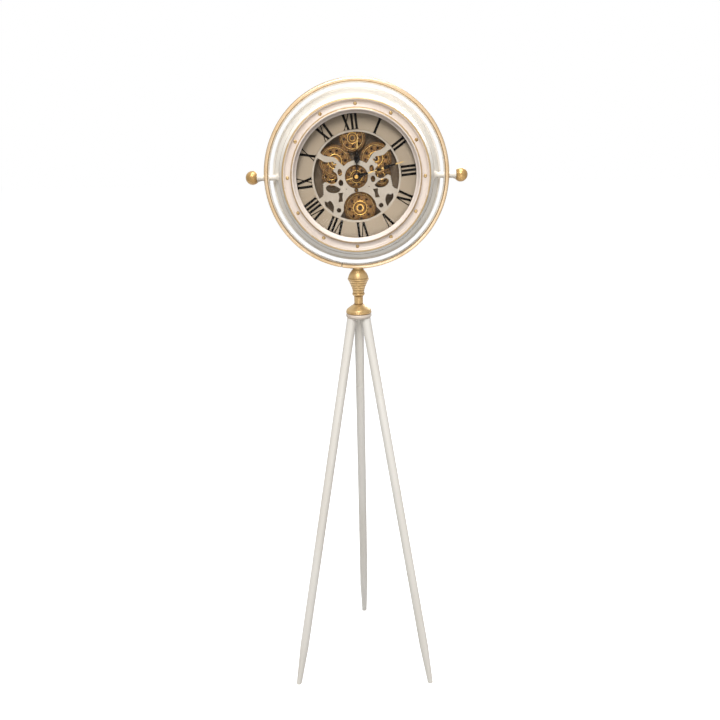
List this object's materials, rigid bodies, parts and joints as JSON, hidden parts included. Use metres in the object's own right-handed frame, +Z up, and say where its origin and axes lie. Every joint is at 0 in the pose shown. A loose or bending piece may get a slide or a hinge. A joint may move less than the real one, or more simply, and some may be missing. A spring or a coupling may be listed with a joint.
{
  "type": "tripod floor clock",
  "caption": "Round skeleton-dial clock with turning gears that tilts between ball knobs in a gold hoop, on a turned column and three sectioned legs.",
  "frame": {"origin": "on the floor, at the middle of the footprint of the three feet", "axes": "+Z is up; the dial faces -Y; +X runs along the tilt axis, to the right as seen from the front"},
  "size_m": [0.49, 0.3108, 1.48],
  "materials": {
    "gold_leaf": "brushed antique gold paint with a satin sheen",
    "column_gold": "burnished antique gold lacquer, darker in the hollows",
    "cream_wood": "turned wood in satin cream paint",
    "cream_metal": "satin cream enamel with a faint pearl sheen",
    "bezel_paint": "satin cream enamel between rubbed gold beads",
    "brass": "polished brass, a little toned",
    "antique_brass": "antiqued brass with dark recesses and rubbed high edges",
    "steel": "zinc-plated steel",
    "glass": "clear float glass",
    "dial_paint": "matt champagne enamel",
    "skeleton_paint": "satin white enamel",
    "numeral_black": "satin black enamel",
    "hand_black": "satin black enamel with gold tips",
    "carrier_metal": "matt umber enamel",
    "black_plastic": "fine-textured black plastic",
    "switch_plastic": "smooth off-white plastic",
    "cell_wrap": "printed film over a steel can, with no wording"
  },
  "bodies": {
    "stand": {"hoop": "gold_leaf", "pivot_bushes": "brass", "column_bulb": "column_gold", "column_neck": "column_gold", "column_dome": "column_gold", "hub_collar": "cream_metal", "leg_fasteners": "steel", "column_rod": "steel", "column_washer": "steel", "column_nut": "steel", "lower_leg_left": "cream_wood", "lower_leg_rear": "cream_wood", "lower_leg_right": "cream_wood", "upper_leg_left": "cream_wood", "upper_leg_rear": "cream_wood", "upper_leg_right": "cream_wood"},
    "head": {"batteries": "cell_wrap", "battery_box": "black_plastic", "bezel": "bezel_paint", "bezel_rivets": "brass", "bush_nuts": "brass", "carrier_plate": "carrier_metal", "dial_plate": "dial_paint", "dial_posts": "brass", "drum_shell": "cream_metal", "gear_arbors": "brass", "gear_motor": "steel", "gear_spacers": "brass", "glass": "glass", "glass_retainer": "steel", "movement_bush": "brass", "movement_case": "black_plastic", "numerals": "numeral_black", "pivot_rods": "cream_metal", "power_switch": "black_plastic", "rear_cover": "black_plastic", "rear_screws": "steel", "rod_nuts": "steel", "skeleton_eyelet": "brass", "skeleton_plate": "skeleton_paint"},
    "knob_left": {"knob_neck_left": "cream_metal", "ball_knob_left": "gold_leaf"},
    "knob_right": {"knob_neck_right": "cream_metal", "ball_knob_right": "gold_leaf"},
    "hour": {"hour_hand": "hand_black", "hour_tube": "brass"},
    "minute": {"minute_hand": "hand_black", "minute_arbor": "brass", "hand_cap": "brass", "setting_wheel": "black_plastic"},
    "centre_wheel": {"centre_gear": "antique_brass"},
    "battery_lid": {"battery_lid": "black_plastic"},
    "switch": {"switch_knob": "switch_plastic"},
    "upper_left_gear": {"upper_left_gear": "antique_brass"},
    "upper_right_gear": {"upper_right_gear": "antique_brass"},
    "top_gear": {"top_gear": "antique_brass"},
    "bottom_gear": {"bottom_gear": "antique_brass"},
    "left_gear": {"left_gear": "antique_brass"},
    "right_gear": {"right_gear": "antique_brass"},
    "motor_pinion": {"motor_pinion": "steel"}
  },
  "joints": [
    {"name": "head_tilt", "type": "hinge", "parent": "stand", "child": "head", "pos_m": [0, -0.04954, 1.276], "axis": [1, 0, 0], "continuous": true},
    {"name": "knob_left_turn", "type": "hinge", "parent": "head", "child": "knob_left", "pos_m": [-0.23, -0.04954, 1.276], "axis": [-1, 0, 0], "range_deg": [0, 180]},
    {"name": "knob_right_turn", "type": "hinge", "parent": "head", "child": "knob_right", "pos_m": [0.23, -0.04954, 1.276], "axis": [1, 0, 0], "range_deg": [0, 180]},
    {"name": "minute_hand_turn", "type": "hinge", "parent": "head", "child": "minute", "pos_m": [0, -0.04954, 1.276], "axis": [0, 1, 0], "continuous": true},
    {"name": "hour_hand_turn", "type": "hinge", "parent": "head", "child": "hour", "pos_m": [0, -0.04954, 1.276], "axis": [0, 1, 0], "continuous": true},
    {"name": "centre_wheel_spin", "type": "hinge", "parent": "head", "child": "centre_wheel", "pos_m": [0, -0.04954, 1.276], "axis": [0, 1, 0], "continuous": true},
    {"name": "upper_left_gear_spin", "type": "hinge", "parent": "head", "child": "upper_left_gear", "pos_m": [-0.04608, -0.04954, 1.30826], "axis": [0, 1, 0], "continuous": true},
    {"name": "upper_right_gear_spin", "type": "hinge", "parent": "head", "child": "upper_right_gear", "pos_m": [0.04245, -0.04954, 1.3129], "axis": [0, 1, 0], "continuous": true},
    {"name": "top_gear_spin", "type": "hinge", "parent": "head", "child": "top_gear", "pos_m": [-0.00753, -0.04954, 1.35586], "axis": [0, 1, 0], "continuous": true},
    {"name": "bottom_gear_spin", "type": "hinge", "parent": "head", "child": "bottom_gear", "pos_m": [0.00706, -0.04954, 1.20887], "axis": [0, 1, 0], "continuous": true},
    {"name": "left_gear_spin", "type": "hinge", "parent": "head", "child": "left_gear", "pos_m": [-0.05372, -0.04954, 1.27788], "axis": [0, 1, 0], "continuous": true},
    {"name": "right_gear_spin", "type": "hinge", "parent": "head", "child": "right_gear", "pos_m": [0.05374, -0.04954, 1.27694], "axis": [0, 1, 0], "continuous": true},
    {"name": "motor_pinion_spin", "type": "hinge", "parent": "head", "child": "motor_pinion", "pos_m": [0.03204, -0.04954, 1.17449], "axis": [0, 1, 0], "continuous": true},
    {"name": "battery_lid_slide", "type": "slide", "parent": "head", "child": "battery_lid", "axis": [1, 0, 0], "range_m": [0, 0.066]},
    {"name": "switch_slide", "type": "slide", "parent": "head", "child": "switch", "axis": [1, 0, 0], "range_m": [0, 0.004]}
  ],
  "couplings": [
    {"joint": "hour_hand_turn", "follows": "minute_hand_turn", "ratio": 0.083333},
    {"joint": "upper_left_gear_spin", "follows": "centre_wheel_spin", "ratio": -0.66667},
    {"joint": "upper_right_gear_spin", "follows": "centre_wheel_spin", "ratio": -0.66667},
    {"joint": "top_gear_spin", "follows": "centre_wheel_spin", "ratio": 0.81818},
    {"joint": "bottom_gear_spin", "follows": "centre_wheel_spin", "ratio": -0.92857},
    {"joint": "left_gear_spin", "follows": "centre_wheel_spin", "ratio": -1.5294},
    {"joint": "right_gear_spin", "follows": "centre_wheel_spin", "ratio": -1.5294},
    {"joint": "motor_pinion_spin", "follows": "centre_wheel_spin", "ratio": 4.3333}
  ]
}
